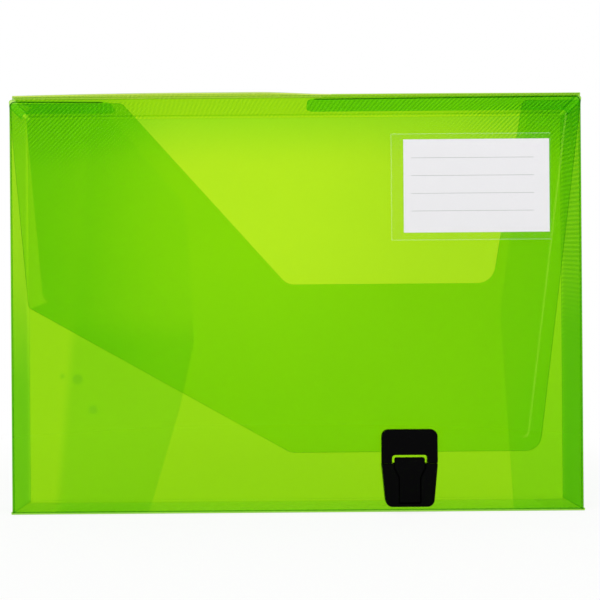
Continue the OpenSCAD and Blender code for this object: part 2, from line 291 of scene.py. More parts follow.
def make_piece(name, points, faces, materials, slots=None):
    """Makes an object from points in millimetres, and from faces with the number of each one's material."""
    mesh = bpy.data.meshes.new(name)
    in_metres = np.asarray(points).reshape(-1, 3) * millimetre
    mesh.from_pydata(in_metres.tolist(), [], [list(face) for face in faces])
    for material in materials:
        mesh.materials.append(material)
    if slots is not None:
        mesh.polygons.foreach_set("material_index", np.asarray(slots, dtype=np.int32))
    mesh.shade_smooth()
    mesh.set_sharp_from_angle(angle=sharp_angle)
    piece = bpy.data.objects.new(name, mesh)
    bpy.context.scene.collection.objects.link(piece)
    return piece


def grid_faces(rows, columns, wrap=False):
    """The quads between neighbouring points of a grid numbered row by row. Wrap joins the last column
    to the first."""
    r, c = np.meshgrid(np.arange(rows - 1), np.arange(columns if wrap else columns - 1), indexing="ij")
    after = (c + 1) % columns
    corners = [r * columns + c, r * columns + after, (r + 1) * columns + after, (r + 1) * columns + c]
    return np.stack(corners, -1).reshape(-1, 4)


def rounded(corners, closed=True, steps=8):
    """The points of an outline given by [x, y, radius] corners. Each corner is the arc that touches both
    of its sides: its centre lies on the line that halves the corner."""
    out = []
    for i, (x, y, radius) in enumerate(corners):
        here = np.array((x, y), float)
        ends = not closed and i in (0, len(corners) - 1)
        if ends or radius == 0:
            out.append(here[None])
            continue
        before = np.array(corners[i - 1][:2]) - here
        after = np.array(corners[(i + 1) % len(corners)][:2]) - here
        before = before / np.linalg.norm(before)
        after = after / np.linalg.norm(after)
        half = math.acos(before @ after) / 2
        middle = (before + after) / np.linalg.norm(before + after)
        centre = here + middle * radius / math.sin(half)
        first = here + before * radius / math.tan(half) - centre
        side = math.copysign(1, before[1] * after[0] - before[0] * after[1])
        turn = side * np.linspace(0, math.pi - 2 * half, steps + 1)
        across = np.array((-first[1], first[0]))
        out.append(centre + np.outer(np.cos(turn), first) + np.outer(np.sin(turn), across))
    return np.concatenate(out)


def inwards(outline):
    """The unit normals of an anticlockwise outline, which point to its inside."""
    along = np.roll(outline, -1, 0) - np.roll(outline, 1, 0)
    normal = np.stack([-along[:, 1], along[:, 0]], 1)
    return normal / np.linalg.norm(normal, axis=1, keepdims=True)


def plate_rings(outline, near, far):
    """Rings of a flat plate from its near face to its far one: the outline set in by the softness of the
    edge, twice the outline itself, and the set-in outline again, each with its depth."""
    inner = outline + inwards(outline) * edge_soft
    return [(inner, near), (outline, near + edge_soft), (outline, far - edge_soft), (inner, far)]


def plate(name, rings, centre, place, materials, slots=0):
    """A closed plate: rings of points round a centre, joined ring to ring, with a fan to the centre at
    both ends. Place turns two flat coordinates and a depth into a point in space. A ring's depth is one
    number, or one for each of its points. Slots are the materials' numbers in the bands between rings."""
    count = len(rings[0][0])
    depths = [np.broadcast_to(depth, count) for _, depth in rings]
    flat = np.stack([place(ring[:, 0], ring[:, 1], depth) for (ring, _), depth in zip(rings, depths)])
    middle = np.array(centre, float)[:, None]
    poles = [place(*middle, depth[:1]) for depth in (depths[0], depths[-1])]
    points = np.concatenate([flat.reshape(-1, 3), *poles])
    around = grid_faces(len(rings), count, wrap=True)[:, ::-1]
    here = np.arange(count)
    after = (here + 1) % count
    last = (len(rings) - 1) * count
    near_fan = np.stack([here, after, np.full(count, len(points) - 2)], 1)
    far_fan = np.stack([last + after, last + here, np.full(count, len(points) - 1)], 1)
    faces = [*near_fan.tolist(), *around.tolist(), *far_fan.tolist()]
    bands = np.broadcast_to(slots, (len(rings) - 1, count)).ravel()
    fan = np.zeros(count)
    return make_piece(name, points, faces, materials, np.concatenate([fan, bands, fan]))


def upright(x, z, depth):
    """A layer that stands, with its depth from front to back."""
    return np.stack([x, depth, z], -1)


def finish_sheet(piece, body, node):
    """The piece stands for this node, and moves with its body."""
    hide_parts(node)
    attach(piece, body)


back_side = wall_x - crease_r - crease_gap
back_outline = rounded([
    [-back_side, sheet + crease_r, 0.3],
    [back_side, sheet + crease_r, 0.3],
    [back_side, back_top, 1.5],
    [-back_side, back_top, 1.5],
])
back_panel = plate(
    "back_panel_sheet", plate_rings(back_outline, back_y - sheet / 2, back_y + sheet / 2),
    (0, 120), upright, [lime_sheet],
)
finish_sheet(back_panel, "box", "back_panel")

# ---------------------------------------------------------------------------------------------
# Bottom wall: the strip of the sheet between the front and the back panel. It turns up into both
# on rounded creases, and the box stands on it. The front crease is painted darker, a painted shade.
front_y = -15.3
bottom_columns = 11
crease_cells = 9

# A darker copy of the sheet, painted shade on the front creases and on the lid's right shoulder.
painted_shade_sheet = sheet_material(
    "painted_shade_sheet", lit_tint=(0.55, 0.80, 0.25), shaded_tint=(0.50, 0.76, 0.22), body=(0.04, 0.26, 0.02)
)


def profile_solid(name, grid, materials, thickness=sheet, cell_slots=None, rim_slots=(1, 1, 1, 1)):
    """A closed sheet: a grid of points on its middle surface, moved by half the thickness along the
    normal to both sides, with a rim all round. The normal is the cross product of the steps along the
    columns and along the rows. The rim's materials are those at the first row, the last column, the
    last row and the first column."""
    rows, columns = grid.shape[:2]
    normal = np.cross(np.gradient(grid, axis=1), np.gradient(grid, axis=0))
    normal = normal / np.linalg.norm(normal, axis=2, keepdims=True)
    near = (grid + normal * thickness / 2).reshape(-1, 3)
    far = (grid - normal * thickness / 2).reshape(-1, 3)
    number = np.arange(rows * columns).reshape(rows, columns)
    loop = np.concatenate([number[0, :-1], number[:-1, -1], number[-1, :0:-1], number[:0:-1, 0]])
    after = np.roll(loop, -1)
    size = rows * columns
    faces = grid_faces(rows, columns)
    rim = np.stack([after, loop, loop + size, after + size], 1)
    if cell_slots is None:
        cell_slots = np.zeros((rows - 1, columns - 1))
    rim_numbers = np.repeat(rim_slots, (columns - 1, rows - 1, columns - 1, rows - 1))
    numbers = np.concatenate([cell_slots.ravel(), cell_slots.ravel(), rim_numbers])
    all_faces = np.concatenate([faces, faces[:, ::-1] + size, rim])
    return make_piece(name, np.concatenate([near, far]), all_faces, materials, numbers)


def carried(section, start, end, along):
    """A section of two coordinates carried along the third axis from start to end, at the given shares
    of the way. Start and end may be different for each point of the section."""
    start = np.broadcast_to(start, len(section))
    end = np.broadcast_to(end, len(section))
    way = start[:, None] + (end - start)[:, None] * np.asarray(along)[None, :]
    first = np.repeat(section[:, :1], len(along), 1)
    second = np.repeat(section[:, 1:], len(along), 1)
    return way, first, second


bottom_section = rounded([
    [front_y, sheet + crease_r - crease_gap, 0],
    [front_y, sheet / 2, crease_r],
    [back_y, sheet / 2, crease_r],
    [back_y, sheet + crease_r - crease_gap, 0],
], closed=False)
way, across, up = carried(bottom_section, -half_width, half_width, np.linspace(0, 1, bottom_columns + 1))
bottom_slots = np.zeros((len(bottom_section) - 1, bottom_columns))
bottom_slots[:crease_cells] = 2
bottom_wall = profile_solid(
    "bottom_wall_sheet", np.stack([way, across, up], -1), [lime_sheet, lime_sheet, painted_shade_sheet],
    cell_slots=bottom_slots,
)
finish_sheet(bottom_wall, "box", "bottom_wall")

# ---------------------------------------------------------------------------------------------
# Front panel: the same sheet, with a wide notch die-cut into its upper edge, through which the
# papers are gripped. Its side edges are cut, and overlap the side walls' tabs.
front_top = 239.4
front_half = 166.2
notch_low = 133.1
panel_rows = 8

front_sheet = sheet_material("front_sheet", lit_tint=(0.725, 0.917, 0.25), shaded_tint=(0.705, 0.905, 0.23))
cut_edge = sheet_material(
    "cut_edge", lit_tint=(0.50, 0.78, 0.20), shaded_tint=(0.45, 0.74, 0.16), body=(0.06, 0.30, 0.02), haze=0.06
)

notch = rounded([
    [-front_half, front_top, 0],
    [-100.8, front_top, 4.6],
    [-5.5, notch_low, 8.7],
    [114.4, notch_low, 10.5],
    [132.6, front_top, 3.0],
    [front_half, front_top, 0],
], closed=False, steps=12)
front_low = sheet + crease_r
share = np.linspace(0, 1, panel_rows + 1)[:, None]
front_grid = upright(
    np.repeat(notch[None, :, 0], len(share), 0),
    front_low + (notch[None, :, 1] - front_low) * share,
    np.full((len(share), len(notch)), front_y),
)
front_panel = profile_solid("front_panel_sheet", front_grid, [front_sheet, cut_edge])
finish_sheet(front_panel, "box", "front_panel")

# ---------------------------------------------------------------------------------------------
# Side walls: narrow upright strips, joined to the back panel and to their front tabs by rounded
# creases. Their upper ends follow the dust flaps' slopes, with a relief cut behind the creases.
tab_y = -14.45
dust_front, dust_rear = -13.8, 7.5
dust_fold = 3.3
left_dust_z = (241.1, 240.1)
right_dust_z = (242.05, 240.2)
relief_width = 0.6
wall_rear_top = 238.9
wall_low = sheet + 0.05
wall_cells = 8
wall_crease_r = crease_r - 0.01

# The two walls are the same sheet in two tints, painted light and shade: the left one paler at the top and
# darker lower down, the right one darker.
right_wall_sheet = sheet_material(
    "right_wall_sheet", lit_tint=(0.82, 0.92, 0.42), shaded_tint=(0.66, 0.88, 0.29), reach=(0.198, 0.218),
    grain=(0.4, 0.4, 1.0),
)
left_wall_sheet = sheet_material(
    "left_wall_sheet", lit_tint=(0.94, 0.98, 0.52), shaded_tint=(0.64, 0.870, 0.36), reach=(0.125, 0.185)
)


def dust_height(y, heights):
    """The middle of a dust flap's sheet at its crease: a straight line from its front to its rear edge."""
    return np.interp(y, [dust_front, dust_rear], heights)


def side_wall(name, side, heights, face, node):
    """A section seen from above, carried up from the bottom wall to a top that follows the dust flap's
    crease, and is lower behind the relief cut."""
    section = rounded([
        [wall_x - crease_r, tab_y, 0],
        [wall_x, tab_y, wall_crease_r],
        [wall_x, back_y, wall_crease_r],
        [wall_x - crease_r, back_y, 0],
    ], closed=False)
    flat_y = np.array([dust_front + 0.2, -8, -2, 4, dust_rear, dust_rear + relief_width, 12])
    middle = np.stack([np.full(len(flat_y), wall_x), flat_y], 1)
    half = len(section) // 2
    section = np.concatenate([section[:half], middle, section[half:]])
    on_fold = section[:, 1] < dust_rear + relief_width / 2
    top = np.where(on_fold, dust_height(section[:, 1], heights) - dust_fold, wall_rear_top)
    up, x, y = carried(section, wall_low, top, np.linspace(0, 1, wall_cells + 1))
    grid = np.stack([side * x, y, up], -1)
    slots = np.zeros((len(section) - 1, wall_cells))
    # The front crease of each wall is painted darker, a painted shade.
    slots[:half - 1] = 2
    if side < 0:
        grid = grid[::-1]
        slots = slots[::-1]
    wall = profile_solid(name, grid, [face, face, painted_shade_sheet], cell_slots=slots)
    finish_sheet(wall, "box", node)


side_wall("left_side_wall_sheet", -1, left_dust_z, left_wall_sheet, "left_side_wall")
side_wall("right_side_wall_sheet", 1, right_dust_z, right_wall_sheet, "right_side_wall")

# Front tabs: the side walls' tabs, turned in and welded flat to the inside of the front panel.
# Their free edges are cut in long soft curves that show through the panel.
tab_side = wall_x - crease_r - crease_gap
tab_low, tab_top = sheet + 0.1, 234.5
tab_near, tab_far = tab_y - sheet / 2, tab_y + sheet / 2
# Painted light: the left tab is painted out near the side wall, where light from the wall shows through.
side_light_line = (-0.1403, 0.0925)
side_light_soft = 0.004
tab_fade_low, tab_fade_high, tab_fade_share = 0.095, 0.120, 0.3


def left_tab_side_light(tree, x, z):
    """The tab is hidden outside a slanted line near the side wall, a painted light from the side wall, and
    fades to a small share above a height.
    """
    inside = math_node(tree, "SUBTRACT", x, math_node(tree, "MULTIPLY_ADD", z, side_light_line[1], side_light_line[0]))
    low = ramp(tree, z, tab_fade_low, tab_fade_high, 1.0, tab_fade_share)
    return math_node(tree, "MULTIPLY", low, ramp(tree, inside, -side_light_soft, side_light_soft))


left_tab_sheet = sheet_material(
    "left_tab_sheet", lit_tint=(0.885, 0.965, 0.84), shaded_tint=(0.875, 0.962, 0.82), haze=0.006,
    cover=left_tab_side_light,
)
right_tab_sheet = sheet_material(
    "right_tab_sheet", lit_tint=(0.94, 0.984, 0.91), shaded_tint=(0.87, 0.965, 0.84), haze=0.006, reach=(0.17, 0.24)
)

left_tab_outline = rounded([
    [-tab_side, tab_low, 0.4],
    [-87, tab_low, 2],
    [-68.5, 62.5, 20],
    [-60, 100, 25],
    [-64.5, 180, 15],
    [-110.5, tab_top, 6],
    [-tab_side, tab_top, 0.4],
])
left_tab = plate(
    "left_front_tab_sheet", plate_rings(left_tab_outline, tab_near, tab_far), (-120, 100), upright,
    [left_tab_sheet],
)
finish_sheet(left_tab, "box", "left_front_tab")

right_tab_outline = rounded([
    [tab_side, tab_low, 0.4],
    [tab_side, tab_top, 0.4],
    [136, tab_top, 6],
    [119, 118, 30],
    [126, tab_low, 2],
])
right_tab = plate(
    "right_front_tab_sheet", plate_rings(right_tab_outline, tab_near, tab_far), (145, 110), upright,
    [right_tab_sheet],
)
finish_sheet(right_tab, "box", "right_front_tab")

# Bottom tabs: a short tab at the foot of each side wall, cut narrower towards its free end. It is
# turned in and welded onto the bottom wall.
bottom_tab_reach = 19.4
bottom_tab_sheet = sheet_material(
    "bottom_tab_sheet", lit_tint=(0.985, 0.995, 0.97), shaded_tint=(0.985, 0.995, 0.97), haze=0.003, graze=(1, 1, 1)
)


def lying(x, y, depth):
    """A layer that lies, with its depth from above downwards."""
    return np.stack([x, y, -depth], -1)


def bottom_tab(name, side, node):
    """A four-cornered plate just above the bottom wall."""
    corners = [
        [tab_side, tab_far + 0.3, 0.4], [tab_side, 16.2, 0.4],
        [tab_side - bottom_tab_reach, 13.2, 4], [tab_side - bottom_tab_reach, tab_far + 3.3, 4],
    ]
    outline = rounded([[side * x, y, r] for x, y, r in corners])
    if side > 0:
        outline = outline[::-1]
    rings = plate_rings(outline[::-1], -2 * sheet, -sheet - 0.05)
    finish_sheet(plate(name, rings, (side * 156, 1), lying, [bottom_tab_sheet]), "box", node)


bottom_tab("left_bottom_tab_sheet", -1, "left_bottom_tab")
bottom_tab("right_bottom_tab_sheet", 1, "right_bottom_tab")

# Weld spots: three round places where the welding tool has pressed the left tab to the panel. The
# sheet is cloudy there and stands up as a shallow lens.
weld_lift = 0.1
weld_material = sheet_material("weld_spot", lit_tint=(0.91, 0.975, 0.85), shaded_tint=(0.91, 0.975, 0.85), haze=0.02)


def circle(x, z, radius):
    """Twenty-four points round a centre."""
    turn = np.linspace(0, 2 * math.pi, 24, endpoint=False)
    return np.stack([x + radius * np.cos(turn), z + radius * np.sin(turn)], 1)


def weld_spot(name, x, z, radius):
    """A shallow dome on a circle: smaller rings stand up higher, and the last one closes its foot."""
    face = front_y - sheet / 2 - 0.02
    rings = [
        (circle(x, z, radius * 0.5), face - weld_lift * 0.85),
        (circle(x, z, radius * 0.85), face - weld_lift * 0.45),
        (circle(x, z, radius), face - 0.01),
        (circle(x, z, radius * 0.9), face),
    ]
    spot = plate(name, rings, (x, z), upright, [weld_material])
    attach(spot, "box")


weld_spot("weld_spot_upper", -127.8, 78.9, 3.0)
weld_spot("weld_spot_lower", -118.9, 61.2, 2.6)
weld_spot("weld_spot_side", -136.6, 80.7, 1.5)

# ---------------------------------------------------------------------------------------------
# Dust flaps: a short one on the left wall and a long one on the right, folded in under the lid,
# against which their creases press them. Each crease is a soft bend of the same sheet, and the
# cut edge at the front is seen end on, where it looks much darker than the faces.
fold_end = 163.3
fold_overlap = 0.02
bend_r = 2.9
droop = 0.6
edge_strip = dust_front + 0.2
dust_middle_y = -3

left_dust_sheet = sheet_material(
    "left_dust_sheet", lit_tint=(0.86, 0.995, 0.38), shaded_tint=(0.84, 0.990, 0.36), haze=0.006,
    grain=(0.25, 0.25, 1.0), graze=(1, 1, 1),
)
right_dust_sheet = sheet_material(
    "right_dust_sheet", lit_tint=(0.68, 0.945, 0.40), shaded_tint=(0.82, 0.998, 0.42), haze=0.006,
    reach=(0.10, 0.19), grain=(0.28, 0.30, 1.0), graze=(1, 1, 1),
)
dust_bend = sheet_material(
    "dust_flap_bend", lit_tint=(0.66, 0.92, 0.36), shaded_tint=(0.64, 0.91, 0.34), graze=(1, 1, 1)
)
dark_edge = sheet_material(
    "dark_edge", lit_tint=(0.16, 0.38, 0.25), shaded_tint=(0.16, 0.38, 0.25), body=(0.03, 0.16, 0.02), haze=0.06
)


def dust_flap(name, side, length, heights, face, node, body):
    """A plate whose height falls from front to back, and a little towards its free end."""
    free = fold_end - length
    root = fold_end - fold_overlap
    corners = [
        [root, dust_front, 0.3], [root, dust_rear, 0.3], [free, dust_rear - 1.5, 5], [free, dust_front, 5],
    ]
    outline = rounded([[side * x, y, r] for x, y, r in corners])
    if side > 0:
        outline = outline[::-1]

    def leaning(x, y, depth):
        """A layer that follows the slope of the fold, with its depth from above downwards."""
        fall = droop * (fold_end - np.abs(x)) / length
        return np.stack([x, y, dust_height(y, heights) - fall - depth], -1)

    rings = plate_rings(outline[::-1], -sheet / 2, sheet / 2)
    in_front = np.stack([ring[:, 1] < edge_strip for ring, _ in rings])
    in_front &= np.roll(in_front, -1, axis=1)
    dark = in_front[:-1] & in_front[1:]
    centre = (side * (fold_end - length / 2), dust_middle_y)
    finish_sheet(plate(name, rings, centre, leaning, [face, dark_edge], dark), body, node)


def dust_crease(name, side, heights):
    """A quarter bend from the top of the side wall to the dust flap, carried from front to rear. Its
    height follows the dust flap's slope."""
    section = rounded([
        [wall_x, -dust_fold + fold_overlap, 0],
        [wall_x, 0, bend_r],
        [fold_end, 0, 0],
    ], closed=False)
    way, x, up = carried(section, dust_front, dust_rear, np.linspace(0, 1, 7))
    grid = np.stack([side * x, way, up + dust_height(way, heights)], -1)
    if side > 0:
        grid = grid[::-1]
    crease = profile_solid(name, grid, [dust_bend, dark_edge], rim_slots=(0, 0, 0, 1))
    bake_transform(crease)


dust_flap("left_dust_flap_sheet", -1, 55.1, left_dust_z, left_dust_sheet, "left_dust_flap", "left_dust")
dust_crease("left_dust_crease_bend", -1, left_dust_z)
dust_flap("right_dust_flap_sheet", 1, 156.1, right_dust_z, right_dust_sheet, "right_dust_flap", "right_dust")
dust_crease("right_dust_crease_bend", 1, right_dust_z)

# ---------------------------------------------------------------------------------------------
# Lid: the sheet rises from the perforated crease on the back panel to a rounded shoulder over the
# flap's crease. Its left half has sprung up further, so that the shoulder shows above the crease. The
# shoulder is painted pale on its left part, a painted sheen where it bows up to the light, and painted
# darker on its right part, a painted shade.
lid_hinge = np.array((17.1, 240.1))
foot_y, foot_z = -17.1, 242.68
flat_top, sprung_top = 243.55, 245.5
right_sag, sag_from, sag_to = 0.3, 60, 160
lid_left, lid_right = -164.2, 165.4
crease_reach = 1.3
slope_cells, shoulder_cells = 8, 10
sprung_from, sprung_reach = -55, 122
sprung_end = 22
painted_sheen_to = 20
lid_columns, middle_columns = 44, 16
middle_half = 24

lid_clear = sheet_material(
    "lid_clear", lit_tint=(0.93, 0.97, 0.26), shaded_tint=(0.90, 0.96, 0.24), grain=(0.1, 0.2, 0.2)
)
painted_sheen_shoulder = sheet_material(
    "painted_sheen_shoulder", lit_tint=(0.76, 0.85, 0.58), shaded_tint=(0.74, 0.84, 0.54), body=(0.5, 0.62, 0.36), haze=0.05
)


def lid_section(top):
    """The lid's middle line in Y and Z for each top height: straight from the rear crease to the point
    where it touches the shoulder's arc, then the arc down to the foot. The arc's centre is level with
    the foot, and its radius is what is left below the top."""
    radius = top - sheet / 2 - foot_z
    centre = np.stack([foot_y + radius, np.full_like(top, foot_z)], -1)
    reach = centre - lid_hinge
    slope = np.arctan2(reach[:, 1], -reach[:, 0]) + np.arcsin(radius / np.linalg.norm(reach, axis=1))
    forward = np.stack([-np.cos(slope), np.sin(slope)], -1)
    touch = centre + radius[:, None] * np.stack([np.sin(slope), np.cos(slope)], -1)
    start = lid_hinge + forward * crease_reach
    line = start[:, None] + (touch - start)[:, None] * np.linspace(0, 1, slope_cells + 1)[None, :, None]
    share = np.linspace(0, 1, shoulder_cells + 1)[None, 1:]
    angle = (math.pi / 2 - slope)[:, None] * (1 - share) + math.pi * share
    arc = centre[:, None] + radius[:, None, None] * np.stack([np.cos(angle), np.sin(angle)], -1)
    return np.concatenate([line, arc], 1)


def soft_step(value, low, high):
    """Rises smoothly from 0 at low to 1 at high."""
    t = np.clip((value - low) / (high - low), 0, 1)
    return t * t * (3 - 2 * t)


lid_x = np.unique(np.concatenate([
    np.linspace(lid_left, lid_right, lid_columns + 1),
    np.linspace(-middle_half, middle_half, middle_columns + 1),
]))
sprung = 1 - (np.clip(sprung_from - lid_x, 0, None) / sprung_reach) ** 2
sprung = sprung * (1 - soft_step(lid_x, -sprung_end, sprung_end))
lid_tops = flat_top - right_sag * soft_step(lid_x, sag_from, sag_to) + (sprung_top - flat_top) * sprung
lid_lines = lid_section(lid_tops)
lid_across = np.broadcast_to(lid_x[:, None, None], lid_lines.shape[:2] + (1,))
lid_grid = np.concatenate([lid_across, lid_lines], -1)
lid_slots = np.zeros((len(lid_x) - 1, slope_cells + shoulder_cells))
# Painted sheen on the left of the shoulder, painted shade on its right.
lid_slots[:, slope_cells:] = 2
lid_slots[lid_x[:-1] > painted_sheen_to, slope_cells:] = 3
lid = profile_solid(
    "lid_sheet", lid_grid, [lid_clear, lid_clear, painted_sheen_shoulder, painted_shade_sheet], cell_slots=lid_slots
)
finish_sheet(lid, "lid", "lid_top")

# Rear crease: the bend of the sheet between the back panel and the lid, on which the lid turns. It
# is perforated with short dashes, so that it folds easily.
dash_pitch = 2.4
dash_material = sheet_material("perforation", lit_tint=(0.78, 0.93, 0.33), shaded_tint=(0.72, 0.90, 0.30))
rear_section = rounded([
    [17.1, back_top + 0.02, 0],
    [17.1, 240.15, 0.7],
    [15.85, 240.33, 0],
], closed=False, steps=5)
dash_share = np.linspace(0, 1, round((lid_right - lid_left) / (dash_pitch / 2)) + 1)
way, across, up = carried(rear_section, lid_left, lid_right, dash_share)
rear_slots = np.zeros((len(rear_section) - 1, len(dash_share) - 1))
rear_slots[1:-1, ::2] = 2
rear_crease = profile_solid(
    "rear_crease_bend", np.stack([way, across, up], -1)[::-1], [lid_clear, lid_clear, dash_material],
    cell_slots=rear_slots,
)
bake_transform(rear_crease)

# ---------------------------------------------------------------------------------------------
# Closing flap: the widest panel, cut on a slant on the left, with rounded corners. A shallow line
# is pressed into it a little inside its edge, which stiffens it. At the right the line is painted pale, a
# painted highlight.
flap_front, flap_back = -17.5, -16.7
flap_top = 241.4
flap_half = half_width - 0.8
flap_corners = [
    [-flap_half, flap_top, 1.5],
    [-155.7, 120.8, 3],
    [-4.0, 35.4, 10],
    [140.5, 35.4, 9.5],
    [flap_half, flap_top, 1.5],
]
line_insets = np.array([9, 8.6, 7.5, 7.2, 5])
line_radii = [4.0, 7.0, 12.0, 4.0, 4.0]
line_width = 1.2
line_depth = 0.22
line_top, line_fade = 226.0, (-4, 2)
line_profile = [(1.0, 0.0), (0.75, 0.75), (0.5, 1.0), (0.25, 0.75), (0.0, 0.0)]
highlight_right, painted_reflection_left = 120, -140

# The flap is painted darker towards its left and upper edge by the rim's share, a painted shade.
flap_sheet = sheet_material(
    "flap_sheet", lit_tint=(0.83, 0.955, 0.34), shaded_tint=(0.69, 0.910, 0.310), reach=(0.08, 0.50), rim=0.95,
    grain=(0.05, 0.42, 0.12),
)
# The flap's left border outside the pressed line is painted pale, a painted reflection of the white
# surround.
painted_reflection_rim = sheet_material("painted_reflection_rim", lit_tint=(1.0, 1.0, 0.8), shaded_tint=(1.0, 1.0, 0.8), graze=(1, 1, 1))
# Painted highlight on the pressed line at the right.
pressed_line_highlight = sheet_material(
    "pressed_line_highlight", lit_tint=(0.98, 1.0, 0.6), shaded_tint=(0.98, 1.0, 0.55), body=(0.6, 0.95, 0.2), haze=0.05
)


def inset_corners(corners, insets, radii):
    """The corners of an anticlockwise outline whose sides are moved inwards, each by its own inset:
    each corner is where its two moved sides cross."""
    points = np.array([c[:2] for c in corners], float)
    along = np.roll(points, -1, 0) - points
    normal = np.stack([-along[:, 1], along[:, 0]], 1) / np.linalg.norm(along, axis=1, keepdims=True)
    base = points + normal * insets[:, None]
    out = []
    for i, radius in enumerate(radii):
        turn = along[i - 1][0] * along[i][1] - along[i - 1][1] * along[i][0]
        gap = base[i] - base[i - 1]
        reach = (gap[0] * along[i][1] - gap[1] * along[i][0]) / turn
        out.append([*(base[i - 1] + along[i - 1] * reach), radius])
    return out


# The pressed line is a dip between two outlines that follow the edges, and fades out at the crease
rings = []
for share, dip in line_profile:
    ring = rounded(inset_corners(flap_corners, line_insets + line_width * share, line_radii))
    rings.append((ring, flap_front + line_depth * dip * soft_step(line_top - ring[:, 1], *line_fade)))
line_bands = len(rings) - 1
rings += plate_rings(rounded(flap_corners), flap_front, flap_back)

on_line, on_rim = rings[1][0], rings[line_bands][0]
flap_slots = np.zeros((len(rings) - 1, len(on_line)))
flap_slots[line_bands + 1:] = 1
at_right = (on_line[:, 0] > highlight_right) & (on_line[:, 1] < line_top + 1)
flap_slots[:line_bands, at_right & (np.roll(on_line[:, 0], -1) > highlight_right)] = 2
at_left = on_rim[:, 0] < painted_reflection_left
flap_slots[line_bands, at_left & np.roll(at_left, -1)] = 3
flap = plate(
    "closing_flap_sheet", rings, (20, 150), upright, [flap_sheet, cut_edge, pressed_line_highlight, painted_reflection_rim],
    flap_slots,
)
finish_sheet(flap, "flap", "closing_flap")

# Front crease: the strip of the sheet between the lid's foot and the closing flap, with a line
# scored along it, on which the flap turns. The scored line is paler than the painted shade of the
# strip's right part; the left part is painted pale, a painted sheen.
score_z = 242.2
score_half, score_flat = 0.4, 0.1
score_depth = 0.12
score_cells, painted_sheen_cells = 33, 18
score_section = np.array([
    [foot_y, foot_z - fold_overlap],
    [foot_y, score_z + score_half],
    [foot_y + score_depth, score_z + score_flat],
    [foot_y + score_depth, score_z - score_flat],
    [foot_y, score_z - score_half],
    [foot_y, flap_top + fold_overlap],
])
score_material = sheet_material(
    "scored_line", lit_tint=(0.66, 0.82, 0.46), shaded_tint=(0.62, 0.80, 0.40), body=(0.5, 0.62, 0.36), haze=0.05
)
way, across, up = carried(score_section, lid_left, lid_right, np.linspace(0, 1, score_cells + 1))
score_slots = np.zeros((len(score_section) - 1, score_cells))
score_slots[:, painted_sheen_cells:] = 3
score_slots[1:4] = 2
front_crease = profile_solid(
    "front_crease_bend", np.stack([way, across, up], -1)[::-1],
    [painted_sheen_shoulder, painted_sheen_shoulder, score_material, painted_shade_sheet], cell_slots=score_slots,
)
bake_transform(front_crease)

# ---------------------------------------------------------------------------------------------
# Clasp: the upper half of the clip, a glossy black moulding staked to the flap by two studs. The
# tongue's head snaps up into the notch in its lower edge.
clip_x = 64.4
clip_front = -21.0
seam_z = 29.2
half_gap = 0.1
clip_top, clip_round = 48.8, 4.2
stud_x, stud_r = 11, 1.5
clasp_stud_z, keeper_stud_z = 43.0, 12.5
panel_front, panel_back = -15.7, -14.9


def moulding_material(name, colour, roughness):
    """Glossy moulded plastic with a very faint unevenness in its skin."""
    material, tree = new_material(name)
    place = new_node(tree, "ShaderNodeTexCoord").outputs["Object"]
    waves = noise(tree, place, 220.0, 3.0)
    skin = ramp(tree, waves, 0.3, 0.7, roughness * 0.8, roughness * 1.3, how="LINEAR")
    plastic = new_node(
        tree, "ShaderNodeBsdfPrincipled",
        {"Base Color": (*colour, 1), "Roughness": skin, "Specular IOR Level": 0.03,
         "Normal": bumped(tree, waves, 0.12, 0.0002)},
    )
    new_node(tree, "ShaderNodeOutputMaterial", {0: plastic.outputs[0]})
    return material


black_moulding = moulding_material("black_moulding", (0.0008, 0.0008, 0.001), 0.12)


def prisms(parts):
    """The points and faces of several closed prisms: each outline is carried from its front to its
    back, and closed by a flat face at each end."""
    points, faces, first = [], [], 0
    for outline, front, back in parts:
        count = len(outline)
        for depth in (front, back):
            points.append(upright(outline[:, 0], outline[:, 1], np.full(count, depth)))
        faces += (grid_faces(2, count, wrap=True)[:, ::-1] + first).tolist()
        faces.append(list(range(first, first + count)))
        faces.append(list(range(first + 2 * count - 1, first + count - 1, -1)))
        first += 2 * count
    return np.concatenate(points), faces


def moulded(name, parts, body, node, bevel):
    """A black moulding with rounded edges."""
    points, faces = prisms(parts)
    piece = make_piece(name, points, faces, [black_moulding])
    round_off = piece.modifiers.new("rounded_edges", "BEVEL")
    round_off.width = bevel * millimetre
    round_off.segments = 4
    round_off.limit_method = "ANGLE"
    round_off.angle_limit = math.radians(40)
    piece.modifiers.new("even_faces", "WEIGHTED_NORMAL").keep_sharp = False
    piece.data.shade_smooth()
    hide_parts(node)
    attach(piece, body)


def clip_outline(corners):
    """A rounded outline about the clip's middle line."""
    return rounded([[clip_x + x, z, r] for x, z, r in corners])


def studs(z, front, back):
    """The two round studs of one half of the clip."""
    return [(circle(clip_x + side * stud_x, z, stud_r), front, back) for side in (-1, 1)]


notch_half, clasp_half = 10.15, 16.2
notch_top = seam_z + half_gap + 4.7
clasp_low = seam_z + half_gap
clasp_outline = clip_outline([
    [-clasp_half, clasp_low, 0.5], [-notch_half, clasp_low, 0.4],
    [-notch_half, notch_top, 1.8], [notch_half, notch_top, 1.8],
    [notch_half, clasp_low, 0.4], [clasp_half, clasp_low, 0.5],
    [16.15, clip_top, clip_round], [-16.15, clip_top, clip_round],
])
clasp_parts = [(clasp_outline, clip_front, flap_front)]
clasp_parts += studs(clasp_stud_z, flap_front - 0.5, flap_back + sheet)
moulded("clasp_moulding", clasp_parts, "flap", "clasp_plate", 0.9)

